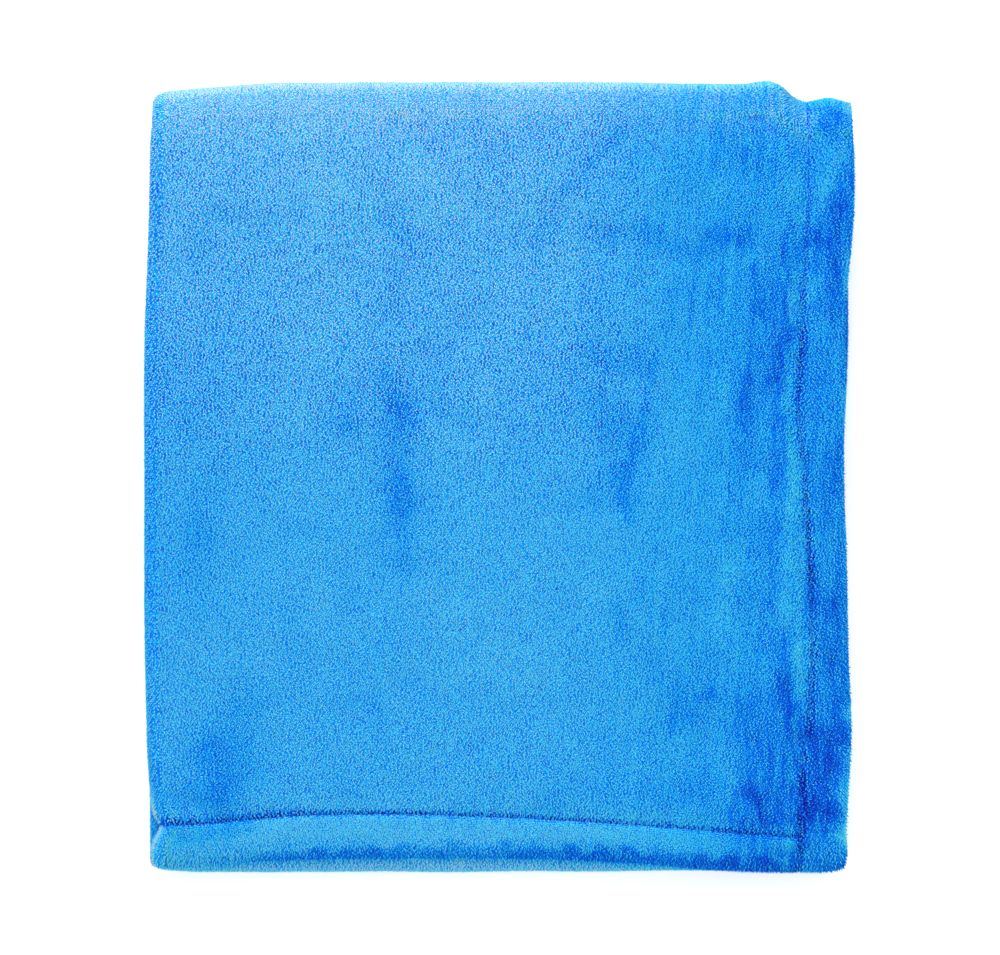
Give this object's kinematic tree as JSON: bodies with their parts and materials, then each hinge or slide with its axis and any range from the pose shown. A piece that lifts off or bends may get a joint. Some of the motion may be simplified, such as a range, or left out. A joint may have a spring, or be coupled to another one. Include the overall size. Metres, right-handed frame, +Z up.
{
  "type": "folded fleece blanket",
  "caption": "Plush fleece throw blanket folded in half twice and then in thirds into a flat stack, hemmed on every edge.",
  "frame": {"origin": "centre of the folded stack's footprint, on the surface it lies on", "axes": "+X along the near hem towards the side with the hemmed layer ends, +Y from the near hem to the rolled far fold, +Z up"},
  "size_m": [0.3854, 0.4326, 0.0456],
  "materials": {
    "fleece": "short plush pile, matt with a soft sheen, bright sky blue that deepens where the pile is brushed the other way"
  },
  "bodies": {
    "root": {"blanket": "fleece"}
  },
  "joints": []
}
